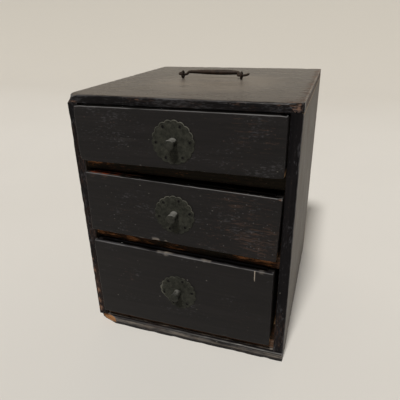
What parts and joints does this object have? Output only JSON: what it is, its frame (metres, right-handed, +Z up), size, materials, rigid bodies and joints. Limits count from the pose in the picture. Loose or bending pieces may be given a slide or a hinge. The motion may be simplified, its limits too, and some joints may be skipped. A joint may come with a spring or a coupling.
{
  "type": "drawer chest",
  "caption": "Small dark wooden chest of drawers that slide out of the front, with scalloped pull plates, post knobs and a low swinging carry handle on top.",
  "frame": {"origin": "middle of the case footprint, on the floor", "axes": "+Z up, front and drawers towards -Y, +X to the right seen from the front"},
  "size_m": [0.22, 0.2595, 0.2793],
  "materials": {
    "stained_wood": "dark brown-black stain and thin lacquer, worn to bare wood at edges",
    "worn_rail_wood": "stain rubbed down to reddish-brown wood",
    "bare_wood": "bare, aged",
    "peg_wood": "bare, darkened",
    "iron": "forged, brown rust",
    "plate_metal": "thin sheet, dark grey-green patina",
    "knob_metal": "dark patina, rubbed"
  },
  "bodies": {
    "case": {"back_panel": "stained_wood", "back_pegs": "peg_wood", "base_board": "stained_wood", "base_left_runner": "bare_wood", "base_pegs": "peg_wood", "base_rail": "worn_rail_wood", "base_right_runner": "bare_wood", "left_handle_staple": "iron", "left_side": "stained_wood", "lower_left_runner": "bare_wood", "lower_rail": "worn_rail_wood", "lower_right_runner": "bare_wood", "rail_pegs": "peg_wood", "right_handle_staple": "iron", "right_side": "stained_wood", "runner_pegs": "peg_wood", "top_board": "stained_wood", "top_pegs": "peg_wood", "upper_left_runner": "bare_wood", "upper_rail": "worn_rail_wood", "upper_right_runner": "bare_wood"},
    "handle": {"carry_handle": "iron"},
    "top_drawer": {"top_drawer_back": "bare_wood", "top_drawer_bottom": "bare_wood", "top_drawer_front": "stained_wood", "top_drawer_left_side": "bare_wood", "top_drawer_pegs": "peg_wood", "top_drawer_right_side": "bare_wood", "top_pull_knob": "knob_metal", "top_pull_plate": "plate_metal"},
    "middle_drawer": {"middle_drawer_back": "bare_wood", "middle_drawer_bottom": "bare_wood", "middle_drawer_front": "stained_wood", "middle_drawer_left_side": "bare_wood", "middle_drawer_pegs": "peg_wood", "middle_drawer_right_side": "bare_wood", "middle_pull_knob": "knob_metal", "middle_pull_plate": "plate_metal"},
    "bottom_drawer": {"bottom_drawer_back": "bare_wood", "bottom_drawer_bottom": "bare_wood", "bottom_drawer_front": "stained_wood", "bottom_drawer_left_side": "bare_wood", "bottom_drawer_pegs": "peg_wood", "bottom_drawer_right_side": "bare_wood", "bottom_pull_knob": "knob_metal", "bottom_pull_plate": "plate_metal"}
  },
  "joints": [
    {"name": "top_drawer_slide", "type": "slide", "parent": "case", "child": "top_drawer", "axis": [0, -1, 0], "range_m": [0, 0.17]},
    {"name": "middle_drawer_slide", "type": "slide", "parent": "case", "child": "middle_drawer", "axis": [0, -1, 0], "range_m": [0, 0.17]},
    {"name": "bottom_drawer_slide", "type": "slide", "parent": "case", "child": "bottom_drawer", "axis": [0, -1, 0], "range_m": [0, 0.17]},
    {"name": "handle_swing", "type": "hinge", "parent": "case", "child": "handle", "pos_m": [-0.004, 0.005, 0.2742], "axis": [1, 0, 0], "range_deg": [-22, 172]}
  ]
}
